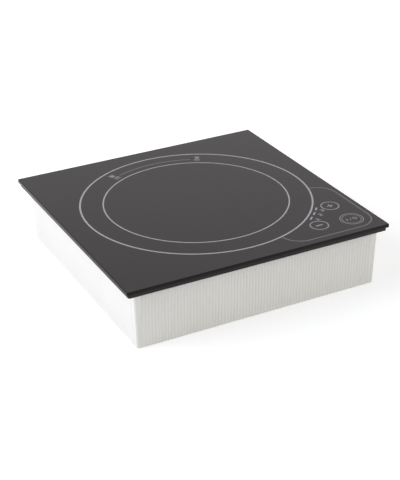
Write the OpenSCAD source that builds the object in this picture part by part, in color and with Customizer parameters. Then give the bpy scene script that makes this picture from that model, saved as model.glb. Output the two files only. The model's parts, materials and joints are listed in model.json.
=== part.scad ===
// Drop-in induction cooktop with one cooking zone: a square black glass plate on a
// drafted, off-white moulded housing. Millimetres, +Z up. The origin is on the plane
// the housing stands on, under the centre of the glass. The front is towards -Y.

/* [Glass plate] */
// Side of the square glass plate
glass_side = 300; // [300:1:306]
// Thickness of the glass plate
glass_t = 4; // [3:0.5:8]
// Corner radius of the glass plate
glass_corner_r = 1.5; // [0.6:0.1:6]
// Width of the bevel round the top edge of the glass
glass_bevel = 0.5; // [0.3:0.1:2]

/* [Rim] */
// Height of the gasket under the glass overhang
gasket_t = 4; // [2:0.5:5]
// Distance from the glass edge to the gasket
gasket_inset = 2; // [0.5:0.1:3]
// Width of the gasket strip
gasket_w = 7.1; // [5:0.1:7.8]

/* [Housing] */
// Side of the square housing at its top rim
housing_top = 281; // [280:0.5:282]
// How far each wall leans in between the rim and the floor
housing_draft = 2; // [1:0.1:2.5]
// Height of the housing from the ground to its top rim
housing_h = 62; // [62:0.5:64]
// Wall and floor thickness of the housing
wall_t = 2.5; // [2:0.1:2.8]
// Radius of the upright corners of the housing
housing_corner_r = 3; // [2:0.5:6]
// Offset of the housing from the centre of the glass, towards the back
housing_y = -3; // [-4:0.5:-2]

/* [Cooking zone] */
// Offset of the cooking zone's centre to the right
zone_x = 1.2; // [0:0.1:2]
// Offset of the cooking zone's centre to the back
zone_y = 0.9; // [0:0.1:2]
// Radius of the innermost turn of the coil
coil_in_r = 26; // [24:1:30]
// Number of turns of the coil
coil_turns = 19; // [12:1:19]
// Distance between two turns of the coil
coil_pitch = 3; // [3:0.05:3.1]
// Radius of the litz wire of the coil
coil_wire_r = 1.4; // [1:0.1:1.4]
// Number of ferrite bars under the coil
ferrite_count = 8; // [6:1:8]

/* [Fan] */
// Side of the square fan frame
fan_side = 80; // [78:1:80]
// Depth of the fan frame
fan_depth = 25; // [25:1:26]
// Number of fan blades
fan_blades = 7; // [5:1:9]
// Radial clearance of the shaft in its bearing
fan_bearing_gap = 0.05; // [0.03:0.01:0.08]
// Radius of the fan shaft
fan_shaft_r = 1.5; // [1.5:0.1:1.8]

/* [Interfaces] */
// Bore radius of the cable gland
gland_bore_r = 3.6; // [3:0.1:4]
// Distance between the bracket inserts from side to side
bracket_dx = 252; // [250:1:254]
// Distance between the bracket inserts from front to back
bracket_dy = 120; // [116:1:122]
// Radius of the tapped hole in a bracket insert
bracket_hole_r = 1.65; // [1.6:0.05:2]

/* [Hidden] */

$fn = 48;
eps = 0.1;           // how far a cutter runs past the face it cuts
far = 400;           // longer than the whole cooktop

// Levels
glass_z = housing_h + gasket_t;
top_z = glass_z + glass_t;
adhesive_t = 1;
flange_t = gasket_t - adhesive_t;
shield_z = 49.9;
shield_t = 1;
carrier_z = shield_z + shield_t;
carrier_top = 59.1;
ferrite_h = 5;
coil_z = carrier_top + coil_wire_r + 0.1;
board_z = 10;
board_t = 1.6;
board_top = board_z + board_t;
carrier_plate_z = 52;
carrier_plate_t = 2;
control_z = 56;
control_top = control_z + board_t;

// Rim
gasket_out = glass_side - 2 * gasket_inset;
gasket_in = gasket_out - 2 * gasket_w;
frame_out = housing_top - 0.4;
frame_in = housing_top - 15;
skirt_out = housing_top - 2 * wall_t - 1.4;
skirt_t = 2;
skirt_h = 8;
adhesive_out = housing_top - 2;
adhesive_in = housing_top - 12;

// Screws: length of the shank, radius of the head and height of the head
housing_screw = [16, 3.4, 2.4];
coil_screw = [12, 3.2, 2.2];
board_screw = [7, 2.8, 2];
control_screw = [8, 2.6, 1.8];
fan_screw = [10, 3.2, 1.4];

// Housing posts: one in each corner and one in the middle of the left and right walls
post_r = 5.5;
post_x = 131;
post_places = [[-1, -1], [1, -1], [-1, 0], [1, 0], [-1, 1], [1, 1]];
post_top = 50;
post_shoulder = 42;
post_recess_r = 3.9;
post_hole_r = 2;
boss_r = 4.5;
boss_hole_h = 9;
tapping_r = 1.4;

// Bracket inserts, sunk a little into bosses that stand on the floor
insert_z = 0.5;
insert_r = 3.2;
insert_top = 8;
bracket_boss_r = 5;
bracket_boss_h = 10;

// Standoffs of the two boards
standoff_r = 3.5;
control_boss_r = 4;
control_hole_h = 10;

// Coil supports
pillar_r = 5;
pillar_ring_r = 92;
pillar_hole_h = 12;
lug_t = 3;
lug_hole_r = 1.9;
shield_r = 98;
carrier_r = 86;
hub_r = 22;
rib_wall_t = 2;
centre_hole_r = 8.5;
inner_lead_hole_r = 3.2;
shield_lead_hole_r = 2.6;
ferrite_l = 54;
ferrite_w = 12;
lead_angle = 15;
sensor_h = 2.5;
sensor_bore_r = 2;
sensor_lead_r = 0.9;
outer_drop = [89.5, 5];
inner_drop = [15.5, -3];

// Fan
fan_x = -80;
fan_y = 76;
fan_z = wall_t;
fan_bore_r = 38.3;
fan_tip_r = 37.4;
fan_hub_r = 15.5;
fan_top = fan_z + fan_depth;
fan_hole_d = 71.5;  // between the fan's screw holes
fan_spider_t = 2.5;
fan_motor_z = fan_top - fan_spider_t;
fan_floor_hole_r = 2.1;
fan_hole_r = 2;
fan_screw_r = 1.9;
fan_recess_r = 3.6;
fan_recess_h = 1.6;
intake_w = 3;
intake_l = 37;
intake_pitch = 6;
intake_middle = 20.5;

// Power board and what stands on it
board_x = [-20, 118];
board_y = [14, 120];
board_hole_x = [-14, 112];
board_hole_y = [20, 114];
board_hole_r = 1.2;
board_slip_r = 1.7;
pillar_gap = 1.2;   // between the rear pillar and the hole it passes through
sink_x = [14, 84];
sink_y = [36, 80];
sink_z = [18, 22];
fin_t = 1.4;
fin_count = 10;
fin_h = 22;
sink_leg_t = 3;
pin_w = 1;
choke_x = 68;
choke_y = 100;
choke_r = [6, 13];
choke_z = [12.6, 23.6];
choke_wire = 1;
choke_gap = 0.1;

// Control panel corner
control_outline = [[60, -136], [122, -136], [134, -124], [134, -60], [118, -60], [60, -118]];
control_bosses = [[68, -128], [126, -72], [100, -98]];
touch_places = [[119.5, -82.7], [84.6, -117.1], [122.3, -120.5]];
touch_pad_r = 6.5;
touch_hole_r = 2.5;
lamp_ring_r = 131;
lamp_angles = [-39.3, -44.4, -49.6];
lamp_w = 2;
lamp_l = 5.2;
lamp_gap = 0.5;     // between a lamp and the glass
cable_window = [[68, -114], [86, -102]];

// Rear wall
gland_x = 104;
gland_z = 20;
gland_r = 8;
gland_key_r = 9.4;
gland_key_y = 133.4;
gland_y = [124, 147];
gland_flange_y = 136.6;
gland_flange_r = 10.5;
gland_flange_t = 1.8;
gland_neck_r = 6.5;
gland_nut_y = 129.2;
gland_cap_y = 138.5;
vent_count = 14;
vent_pitch = 6;
vent_w = 3;
vent_h = 34;
vent_x = 0;
vent_from_y = 100;
vent_z = 14;

// Side of the housing at a height
function side_at(z) = housing_top - 2 * housing_draft * (1 - z / housing_h);

// A point at a radius and an angle from the centre of the cooking zone
function zone_point(r, a) = [zone_x + r * cos(a), zone_y + r * sin(a)];

// A point given in the coil's own turned frame, at a height
function coil_point(p, z) = [
    zone_x + p[0] * cos(lead_angle) - p[1] * sin(lead_angle),
    zone_y + p[0] * sin(lead_angle) + p[1] * cos(lead_angle),
    z
];

// A rectangle with round corners, centred on the origin
module rounded_rect(w, d, r) {
    square([w - 2 * r, d], center = true);
    square([w, d - 2 * r], center = true);
    for (sx = [-1, 1], sy = [-1, 1])
        translate([sx * (w / 2 - r), sy * (d / 2 - r)]) circle(r = r);
}

// A square frame of strip, centred on the origin
module square_ring(out_side, in_side, r) {
    difference() {
        rounded_rect(out_side, out_side, r);
        square(in_side, center = true);
    }
}

// A block given by its low corner and its high corner
module block(low, high) {
    translate(low) cube(high - low);
}

// An upright tube
module tube(r_out, r_in, h) {
    difference() {
        cylinder(r = r_out, h = h);
        translate([0, 0, -eps]) cylinder(r = r_in, h = h + 2 * eps);
    }
}

// A pan-head screw that points up, with the underside of its head at z = 0
module screw(shank_r, size) {
    head_r = size[1];
    head_h = size[2];
    cylinder(r = shank_r, h = size[0]);
    difference() {
        translate([0, 0, -head_h]) cylinder(r = head_r, h = head_h);
        for (a = [0, 90])
            rotate([0, 0, a])
                translate([0, 0, -head_h]) cube([head_r * 1.2, head_r * 0.25, head_h], center = true);
    }
}

// Direction from one point to another
function toward(a, b) = (b - a) / norm(b - a);

// A path with each of its corners cut off
function cut_corners(path) = concat(
    [path[0]],
    [for (i = [0 : len(path) - 2], share = [0.2, 0.8]) path[i] * (1 - share) + path[i + 1] * share],
    [path[len(path) - 1]]
);

// Normal of the plane that halves the bend at one point of a path
function mitre(path, i) =
    i == 0 ? toward(path[0], path[1]) :
    i == len(path) - 1 ? toward(path[i - 1], path[i]) :
    toward(-toward(path[i - 1], path[i]), toward(path[i], path[i + 1]));

// A ring of points slid along one stretch of a path to the mitre plane at its end
function slid_ring(ring, path, i) =
    let (d = toward(path[i - 1], path[i]), n = mitre(path, i))
    [for (q = ring) q + d * (((path[i] - q) * n) / (d * n))];

function all_rings(path, rings) =
    len(rings) == len(path) ? rings :
    all_rings(path, concat(rings, [slid_ring(rings[len(rings) - 1], path, len(rings))]));

// A round wire swept through hand-placed points, with its corners eased
module wire(points, r) {
    sides = 10;
    path = cut_corners(cut_corners(points));
    along = toward(path[0], path[1]);
    across = toward([0, 0, 0], cross(along, [0.31, 0.52, 0.8]));
    upward = cross(along, across);
    first = [for (k = [0 : sides - 1])
        path[0] + r * (cos(k * 360 / sides) * across + sin(k * 360 / sides) * upward)];
    rings = all_rings(path, [first]);
    last = len(path) - 1;
    polyhedron(
        points = [for (ring = rings, q = ring) q],
        faces = concat(
            [[for (k = [0 : sides - 1]) k]],
            [for (i = [0 : last - 1], k = [0 : sides - 1])
                let (a = i * sides, b = a + sides, n = (k + 1) % sides) [a + k, b + k, b + n, a + n]],
            [[for (k = [sides - 1 : -1 : 0]) last * sides + k]]
        )
    );
}

// The drafted body of the housing between two heights, drawn in by an inset all round
module drafted_block(inset, z_low, z_high) {
    low = side_at(z_low) - 2 * inset;
    high = side_at(z_high) - 2 * inset;
    translate([0, housing_y, z_low])
        linear_extrude(height = z_high - z_low, scale = high / low)
            rounded_rect(low, low, max(housing_corner_r - inset, 0.5), $fn = 32);
}

module at_posts() {
    for (p = post_places)
        translate([p[0] * post_x, housing_y + p[1] * post_x, 0]) children();
}

module at_brackets() {
    for (sx = [-1, 1], sy = [-1, 1])
        translate([sx * bracket_dx / 2, housing_y + sy * bracket_dy / 2, 0]) children();
}

module at_pillars() {
    for (a = [0 : 90 : 270])
        translate(zone_point(pillar_ring_r, a)) children();
}

module at_fan_holes() {
    for (sx = [-1, 1], sy = [-1, 1])
        translate([fan_x + sx * fan_hole_d / 2, fan_y + sy * fan_hole_d / 2, 0]) children();
}

module at_board_holes() {
    for (x = board_hole_x, y = board_hole_y)
        translate([x, y, 0]) children();
}

module at_control_bosses() {
    for (p = control_bosses)
        translate(p) children();
}

// ---- Glass and rim ----

module glass_top() {
    color([0.1, 0.09, 0.1])
        difference() {
            translate([0, 0, glass_z])
                linear_extrude(glass_t) rounded_rect(glass_side, glass_side, glass_corner_r);
            for (a = [0 : 90 : 270])
                rotate([0, 0, a])
                    translate([glass_side / 2, 0, top_z])
                        rotate([0, 45, 0])
                            cube([glass_bevel * sqrt(2), far, glass_bevel * sqrt(2)], center = true);
        }
}

module glass_adhesive() {
    color("dimgray")
        translate([0, housing_y, housing_h + flange_t])
            linear_extrude(adhesive_t) square_ring(adhesive_out, adhesive_in, 4);
}

// Moulded frame that is bonded under the glass and screwed to the housing from below
module glass_frame() {
    color("gainsboro")
        difference() {
            union() {
                translate([0, housing_y, housing_h])
                    linear_extrude(flange_t) square_ring(frame_out, frame_in, housing_corner_r);
                translate([0, housing_y, housing_h - skirt_h])
                    linear_extrude(skirt_h) square_ring(skirt_out, skirt_out - 2 * skirt_t, 1);
                at_posts() translate([0, 0, post_top]) cylinder(r = boss_r, h = housing_h - post_top);
            }
            at_posts() translate([0, 0, post_top - eps]) cylinder(r = tapping_r, h = boss_hole_h);
        }
}

module rim_gasket() {
    color([0.13, 0.13, 0.13])
        translate([0, 0, housing_h])
            difference() {
                linear_extrude(gasket_t) square_ring(gasket_out, gasket_in, 2);
                translate([0, housing_y, -eps])
                    linear_extrude(gasket_t + 2 * eps)
                        rounded_rect(housing_top, housing_top, housing_corner_r);
            }
}

// ---- Housing ----

module housing_tub() {
    color([0.9, 0.9, 0.88])
        difference() {
            union() {
                difference() {
                    drafted_block(0, 0, housing_h);
                    drafted_block(wall_t, wall_t, housing_h + 1);
                }
                at_posts() cylinder(r = post_r, h = post_top);
                at_brackets() cylinder(r = bracket_boss_r, h = bracket_boss_h);
                at_pillars() cylinder(r = pillar_r, h = shield_z);
                at_board_holes() cylinder(r = standoff_r, h = board_z);
                at_control_bosses() cylinder(r = control_boss_r, h = carrier_plate_z);
            }
            at_posts() {
                translate([0, 0, -eps]) cylinder(r = post_recess_r, h = post_shoulder + eps);
                cylinder(r = post_hole_r, h = post_top + eps);
            }
            at_brackets() translate([0, 0, -eps]) cylinder(r = insert_r, h = insert_top + eps);
            at_pillars()
                translate([0, 0, shield_z - pillar_hole_h])
                    cylinder(r = tapping_r, h = pillar_hole_h + eps);
            at_board_holes() translate([0, 0, wall_t]) cylinder(r = board_hole_r, h = board_z);
            at_control_bosses()
                translate([0, 0, carrier_plate_z - control_hole_h])
                    cylinder(r = board_hole_r, h = control_hole_h + eps);
            at_fan_holes() {
                translate([0, 0, -eps]) cylinder(r = fan_floor_hole_r, h = wall_t + 2 * eps);
                translate([0, 0, -eps]) cylinder(r = fan_recess_r, h = fan_recess_h + eps);
            }
            intake_slots();
            exhaust_slots();
            translate([gland_x, 0, gland_z])
                rotate([-90, 0, 0]) cylinder(r = gland_key_r + 0.1, h = far, $fn = 6);
        }
}

// Parallel slots inside a circle under the fan
module intake_slots() {
    intersection() {
        translate([fan_x, fan_y, -1]) cylinder(r = fan_bore_r - 2, h = wall_t + 2);
        for (i = [-6 : 5], half = [-1, 1])
            translate([fan_x + i * intake_pitch + intake_w / 2, fan_y + half * intake_middle, 0])
                cube([intake_w, intake_l, far], center = true);
    }
}

// A row of upright slots in the rear wall
module exhaust_slots() {
    for (i = [0 : vent_count - 1])
        translate([vent_x + i * vent_pitch, vent_from_y, vent_z])
            cube([vent_w, far, vent_h]);
}

// Long screws that stand in the housing's posts and hold the glass frame
module housing_screws() {
    color("silver")
        at_posts() translate([0, 0, post_shoulder]) screw(tapping_r, housing_screw);
}

// Tapped inserts for the brackets that clamp the cooktop to a worktop
module bracket_inserts() {
    color("goldenrod")
        at_brackets() translate([0, 0, insert_z]) tube(insert_r, bracket_hole_r, insert_top - insert_z);
}

// Cable gland: a threaded shank, a six-sided key in the wall, a flange and a neck
module gland_body() {
    color([0.15, 0.15, 0.15])
        translate([gland_x, 0, gland_z])
            rotate([-90, 0, 0])
                difference() {
                    union() {
                        translate([0, 0, gland_y[0]])
                            cylinder(r = gland_r, h = gland_flange_y + 1 - gland_y[0]);
                        translate([0, 0, gland_key_y])
                            cylinder(r = gland_key_r, h = gland_flange_y + 1 - gland_key_y, $fn = 6);
                        translate([0, 0, gland_flange_y]) cylinder(r = gland_flange_r, h = gland_flange_t);
                        translate([0, 0, gland_flange_y])
                            cylinder(r = gland_neck_r, h = gland_y[1] - gland_flange_y);
                    }
                    translate([0, 0, gland_y[0] - eps])
                        cylinder(r = gland_bore_r, h = gland_y[1] - gland_y[0] + 2 * eps);
                }
}

// Lock nut on the shank, inside the wall
module gland_nut() {
    nut_r = 11.5;
    nut_h = 4;
    color([0.2, 0.2, 0.2])
        translate([gland_x, gland_nut_y, gland_z])
            rotate([-90, 0, 0])
                difference() {
                    cylinder(r = nut_r, h = nut_h, $fn = 6);
                    translate([0, 0, -eps]) cylinder(r = gland_r, h = nut_h + 2 * eps);
                }
}

// Clamping cap on the neck
module gland_cap() {
    grip_r = 9.8;
    grip_h = 4.5;
    cap_r = 8.3;
    cap_h = 9.8;
    color([0.15, 0.15, 0.15])
        translate([gland_x, gland_cap_y, gland_z])
            rotate([-90, 0, 0])
                difference() {
                    union() {
                        cylinder(r = grip_r, h = grip_h, $fn = 6);
                        cylinder(r = cap_r, h = cap_h);
                    }
                    translate([0, 0, -eps])
                        cylinder(r = gland_neck_r, h = gland_y[1] - gland_cap_y + 2 * eps);
                    cylinder(r = gland_bore_r + 1, h = cap_h + 1);
                }
}

// ---- Coil stack ----

// A flat spiral of half turns, each upper half round one centre and each lower half
// round a centre half a pitch away, so that the ends of the halves meet
module coil_winding() {
    color("chocolate")
        translate([zone_x, zone_y, coil_z])
            rotate([0, 0, lead_angle])
                for (i = [0 : coil_turns - 1]) {
                    rotate_extrude(angle = 180)
                        translate([coil_in_r + i * coil_pitch, 0]) circle(r = coil_wire_r, $fn = 24);
                    translate([coil_pitch / 2, 0, 0])
                        rotate([0, 0, 180])
                            rotate_extrude(angle = 180)
                                translate([coil_in_r + (i + 0.5) * coil_pitch, 0])
                                    circle(r = coil_wire_r, $fn = 24);
                }
}

// Moulded disc under the coil, with pockets for the ferrites and four lugs
module coil_carrier() {
    pocket_top = carrier_z + ferrite_h + 0.1;
    color("ivory")
        translate([zone_x, zone_y, 0])
            difference() {
                union() {
                    translate([0, 0, pocket_top])
                        cylinder(r = carrier_r, h = carrier_top - pocket_top, $fn = 96);
                    translate([0, 0, carrier_z])
                        tube(carrier_r, carrier_r - rib_wall_t, ferrite_h + 1, $fn = 96);
                    translate([0, 0, carrier_z]) tube(hub_r, hub_r - rib_wall_t, ferrite_h + 1);
                    for (k = [0 : ferrite_count - 1], side = [-1, 1])
                        rotate([0, 0, (k + 0.5) * 360 / ferrite_count])
                            translate([hub_r - 0.5, side * (ferrite_w / 2 + 0.7) - 0.5, carrier_z])
                                cube([carrier_r - hub_r - 0.6, 1, ferrite_h + 1]);
                    for (a = [0 : 90 : 270])
                        rotate([0, 0, a]) carrier_lug();
                }
                translate([0, 0, carrier_z - eps]) cylinder(r = centre_hole_r, h = far);
                for (a = [0 : 90 : 270])
                    rotate([0, 0, a])
                        translate([pillar_ring_r, 0, carrier_z - eps])
                            cylinder(r = lug_hole_r, h = lug_t + 2 * eps);
                rotate([0, 0, lead_angle])
                    translate([inner_drop[0], inner_drop[1], carrier_z - eps])
                        cylinder(r = inner_lead_hole_r, h = far);
            }
}

// Lug that rests on a pillar
module carrier_lug() {
    translate([pillar_ring_r, 0, carrier_z]) cylinder(r = pillar_r, h = lug_t);
    translate([carrier_r - 1, -pillar_r, carrier_z])
        cube([pillar_ring_r - carrier_r + 1, 2 * pillar_r, lug_t]);
}

module ferrite_bars() {
    color([0.2, 0.2, 0.22])
        translate([zone_x, zone_y, carrier_z])
            for (k = [0 : ferrite_count - 1])
                rotate([0, 0, (k + 0.5) * 360 / ferrite_count])
                    translate([hub_r + 3, -ferrite_w / 2, 0]) cube([ferrite_l, ferrite_w, ferrite_h]);
}

module coil_shield() {
    sensor_hole_r = 6;
    color("lightgray")
        translate([zone_x, zone_y, shield_z])
            difference() {
                cylinder(r = shield_r, h = shield_t, $fn = 96);
                translate([0, 0, -eps]) cylinder(r = sensor_hole_r, h = shield_t + 1);
                for (a = [0 : 90 : 270])
                    rotate([0, 0, a])
                        translate([pillar_ring_r, 0, -eps]) cylinder(r = lug_hole_r, h = shield_t + 1);
                for (p = [inner_drop, outer_drop])
                    rotate([0, 0, lead_angle])
                        translate([p[0], p[1], -eps])
                            cylinder(r = shield_lead_hole_r, h = shield_t + 1);
            }
}

module coil_screws() {
    color("silver")
        at_pillars()
            translate([0, 0, carrier_z + lug_t]) mirror([0, 0, 1]) screw(tapping_r, coil_screw);
}

module mica_sheet() {
    mica_r = 90;
    mica_hole_r = 6.6;
    mica_t = 0.5;
    color("tan")
        translate([zone_x, zone_y, coil_z + coil_wire_r + 0.1])
            tube(mica_r, mica_hole_r, mica_t, $fn = 96);
}

// Stem in the middle of the coil, on a foot that fills the hole of the carrier
module sensor_holder() {
    stem_r = 6;
    foot_h = 3;
    color("white")
        translate([zone_x, zone_y, carrier_z])
            difference() {
                union() {
                    cylinder(r = centre_hole_r, h = foot_h);
                    cylinder(r = stem_r, h = glass_z - sensor_h - carrier_z);
                }
                translate([0, 0, -eps]) cylinder(r = sensor_bore_r, h = far);
            }
}

// Cap pressed against the glass, with a plug in the stem below it
module temperature_sensor() {
    cap_r = 5;
    color("darkred")
        translate([zone_x, zone_y, glass_z - sensor_h])
            union() {
                cylinder(r = cap_r, h = sensor_h);
                translate([0, 0, -sensor_h]) cylinder(r = sensor_bore_r, h = sensor_h);
            }
}

// Leads from the two ends of the coil to the power board
module coil_leads() {
    outer_end = coil_in_r + coil_turns * coil_pitch;
    drop = coil_point(outer_drop, 0);
    color("peru") {
        wire([
            coil_point([outer_end, 0], coil_z),
            coil_point([outer_end + 1.5, 4], coil_z),
            coil_point(outer_drop, coil_z),
            coil_point(outer_drop, 40),
            [drop[0], 22, 32],
            [drop[0], 22, board_top]
        ], coil_wire_r);
        wire([
            coil_point([coil_in_r, 0], coil_z),
            coil_point([coil_in_r - 1.5, -4], coil_z),
            coil_point(inner_drop, coil_z),
            coil_point(inner_drop, 36),
            [20, 22, 28],
            [20, 22, board_top]
        ], coil_wire_r);
    }
}

module sensor_lead() {
    color("white")
        wire([
            [zone_x, zone_y, glass_z - 2 * sensor_h],
            [zone_x, zone_y, 38],
            [-6, 20, 30],
            [-12, 28, 16],
            [-12, 28, board_top]
        ], sensor_lead_r);
}

// ---- Power electronics ----

module power_board() {
    color("darkgreen")
        difference() {
            block([board_x[0], board_y[0], board_z], [board_x[1], board_y[1], board_top]);
            at_board_holes() translate([0, 0, board_z - eps]) cylinder(r = board_slip_r, h = 2);
            translate([zone_x, zone_y + pillar_ring_r, board_z - eps])
                cylinder(r = pillar_r + pillar_gap, h = 2);
        }
}

module board_screws() {
    color("silver")
        at_board_holes() translate([0, 0, board_top]) mirror([0, 0, 1]) screw(board_hole_r, board_screw);
}

// Extruded sink that stands on two legs over the power devices
module heat_sink() {
    sink_l = sink_x[1] - sink_x[0];
    fin_pitch = (sink_y[1] - sink_y[0] - fin_t) / (fin_count - 1);
    color("lightsteelblue") {
        block([sink_x[0], sink_y[0], sink_z[0]], [sink_x[1], sink_y[1], sink_z[1]]);
        for (i = [0 : fin_count - 1])
            translate([sink_x[0], sink_y[0] + i * fin_pitch, sink_z[1] - 1])
                cube([sink_l, fin_t, fin_h + 1]);
        for (y = [sink_y[0], sink_y[1] - sink_leg_t])
            translate([sink_x[0], y, board_top]) cube([sink_l, sink_leg_t, sink_z[1] - board_top]);
    }
}

// A flat power device under the sink, with its row of pins on the board
module power_device(x, y, w, d, h, pins) {
    pin_l = 2;
    pin_h = 4;
    color([0.15, 0.15, 0.15]) block([x, y, sink_z[0] - h], [x + w, y + d, sink_z[0]]);
    color("silver")
        for (i = [0 : pins - 1])
            translate([x + (i + 0.5) * w / pins - pin_w / 2, y - pin_l, board_top]) {
                cube([pin_w, pin_w, pin_h]);
                translate([0, 0, pin_h - pin_w]) cube([pin_w, pin_l, pin_w]);
            }
}

module power_transistor() {
    power_device(24, 50, 16, 20, 5, 3);
}

module bridge_rectifier() {
    power_device(52, 50, 22, 19, 4.5, 4);
}

// A box capacitor on the board, given by its low corner and its size
module box_capacitor(x, y, size) {
    translate([x, y, board_top]) cube(size);
}

module resonant_capacitors() {
    color("steelblue")
        for (y = [34, 50])
            box_capacitor(90, y, [26, 13, 22]);
}

module smoothing_capacitor() {
    color("firebrick") box_capacitor(90, 68, [26, 20, 24]);
}

module choke_core() {
    color("olive")
        translate([choke_x, choke_y, choke_z[0]]) tube(choke_r[1], choke_r[0], choke_z[1] - choke_z[0]);
}

// Square turns of flat wire round the choke's core
module choke_winding() {
    low = [choke_r[0] - choke_gap, choke_z[0] - choke_gap];
    high = [choke_r[1] + choke_gap, choke_z[1] + choke_gap];
    color("sienna")
        translate([choke_x, choke_y, 0])
            for (a = [15 : 20 : 345])
                rotate([0, 0, a])
                    difference() {
                        block(
                            [low[0] - choke_wire, -choke_wire / 2, board_top],
                            [high[0] + choke_wire, choke_wire / 2, high[1] + choke_wire]
                        );
                        block([low[0], -choke_wire, low[1]], [high[0], choke_wire, high[1]]);
                    }
}

module mains_capacitor() {
    color("gold") box_capacitor(20, 87, [26, 10, 15]);
}

// Ceramic tube between two end caps
module mains_fuse() {
    fuse_r = 2.6;
    cap_r = 3.2;
    cap_l = 5;
    fuse_x = [20, 40];
    fuse_y = 106;
    color("white")
        translate([fuse_x[0], fuse_y, board_top + cap_r])
            rotate([0, 90, 0]) cylinder(r = fuse_r, h = fuse_x[1] - fuse_x[0]);
    color("silver")
        for (x = [fuse_x[0] - 2, fuse_x[1] - cap_l + 1])
            translate([x, fuse_y, board_top + cap_r]) rotate([0, 90, 0]) tube(cap_r, fuse_r, cap_l);
}

// Bobbin foot, winding and the core round it, all centred over one place on the board
module standby_transformer() {
    foot = [20, 22, 4];
    winding = [12, 18, 14];
    core = [20, 10, 16];
    core_wall = 3;
    color("khaki")
        translate([0, 47, board_top]) {
            translate([0, 0, foot[2] / 2]) cube(foot, center = true);
            translate([0, 0, foot[2] + winding[2] / 2]) cube(winding, center = true);
            translate([0, 0, foot[2] + core[2] / 2])
                difference() {
                    cube(core, center = true);
                    cube([core[0] - 2 * core_wall, core[1] + 2, core[2] - 2 * core_wall], center = true);
                }
        }
}

// Three-way screw terminal for the mains conductors
module terminal_block() {
    ways = 3;
    way_pitch = 8;
    way_r = 2.2;
    depth = 14;
    high = 13;
    color("whitesmoke")
        translate([82, 103, board_top])
            difference() {
                cube([ways * way_pitch, depth, high]);
                for (i = [0 : ways - 1])
                    translate([(i + 0.5) * way_pitch, 0, 0]) {
                        translate([0, depth - 5, high / 2]) cylinder(r = way_r, h = high);
                        translate([0, depth / 2, 5]) rotate([-90, 0, 0]) cylinder(r = way_r, h = depth);
                    }
            }
}

// ---- Fan ----

// Square outline of the fan frame with its screw holes
module fan_outline() {
    difference() {
        rounded_rect(fan_side, fan_side, 4);
        for (sx = [-1, 1], sy = [-1, 1])
            translate([sx * fan_hole_d / 2, sy * fan_hole_d / 2]) circle(r = fan_hole_r);
    }
}

// Hub plate and three struts that carry the motor at the top of the frame
module fan_spider() {
    circle(r = fan_hub_r);
    for (a = [20 : 120 : 260])
        rotate([0, 0, a]) translate([0, -2]) square([fan_bore_r + 1, 4]);
}

module fan_frame() {
    color([0.2, 0.2, 0.2])
        translate([fan_x, fan_y, fan_z]) {
            linear_extrude(fan_depth - fan_spider_t)
                difference() {
                    fan_outline();
                    circle(r = fan_bore_r, $fn = 72);
                }
            translate([0, 0, fan_depth - fan_spider_t])
                linear_extrude(fan_spider_t) {
                    difference() {
                        fan_outline();
                        circle(r = fan_bore_r, $fn = 72);
                    }
                    fan_spider();
                }
        }
}

// Bearing tube with the laminated core and its four coils
module fan_stator() {
    tube_z = fan_z + 6.5;
    core_z = fan_z + 9;
    core_h = 7;
    color("sandybrown")
        translate([fan_x, fan_y, 0]) {
            difference() {
                union() {
                    translate([0, 0, tube_z]) cylinder(r = 4, h = fan_motor_z - tube_z);
                    translate([0, 0, core_z]) cylinder(r = 6, h = core_h);
                    for (a = [0 : 90 : 270])
                        rotate([0, 0, a]) {
                            translate([0, -2, core_z]) cube([10.5, 4, core_h]);
                            intersection() {
                                translate([0, 0, core_z]) tube(11.6, 9.8, core_h);
                                translate([8, -6, core_z]) cube([5, 12, core_h]);
                            }
                        }
                }
                translate([0, 0, tube_z - eps])
                    cylinder(r = fan_shaft_r + fan_bearing_gap, h = fan_motor_z - tube_z + 2 * eps);
            }
        }
}

module fan_screws() {
    color("silver")
        at_fan_holes() translate([0, 0, fan_recess_h]) screw(fan_screw_r, fan_screw);
}

// Hub cup with cambered blades, cut from the wall of a tube that lies along each blade
module fan_impeller() {
    hub_z = fan_z + 3;
    hub_h = 18;
    blade_z = fan_z + 3.5;
    blade_h = 17.5;
    camber_r = 22;
    blade_t = 1.3;
    pitch = 38;
    color([0.12, 0.12, 0.12])
        translate([fan_x, fan_y, 0]) {
            translate([0, 0, hub_z])
                difference() {
                    cylinder(r = fan_hub_r, h = hub_h);
                    translate([0, 0, 2]) cylinder(r = fan_hub_r - 1.5, h = hub_h);
                    translate([0, 0, -eps]) cylinder(r = fan_shaft_r, h = 3);
                }
            intersection() {
                translate([0, 0, blade_z])
                    tube(fan_tip_r, fan_hub_r - 0.8, blade_h, $fn = 72);
                for (k = [0 : fan_blades - 1])
                    rotate([0, 0, k * 360 / fan_blades])
                        translate([0, 0, blade_z + blade_h / 2])
                            rotate([pitch, 0, 0])
                                translate([fan_hub_r - 2, 0, -camber_r])
                                    rotate([0, 90, 0])
                                        cambered_strip(camber_r, blade_t);
            }
        }
}

// Strip of a tube's wall, as long as a blade reaches
module cambered_strip(r, t) {
    strip_l = 26;
    half_w = 11;
    intersection() {
        tube(r + t / 2, r - t / 2, strip_l, $fn = 72);
        translate([-r - 3, -half_w, 0]) cube([12, 2 * half_w, strip_l]);
    }
}

module fan_magnet() {
    color([0.3, 0.3, 0.3])
        translate([fan_x, fan_y, fan_z + 6]) tube(fan_hub_r - 1.5, 12.4, 12);
}

module fan_shaft() {
    color("silver")
        translate([fan_x, fan_y, fan_z + 3]) cylinder(r = fan_shaft_r, h = 18);
}

module fan_lead() {
    color("crimson")
        wire([
            [fan_x + fan_side / 2, 45, 7],
            [-30, 45, 7],
            [-25, 45, 15],
            [-16, 45, 15],
            [-16, 45, board_top]
        ], 0.9);
}

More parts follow.
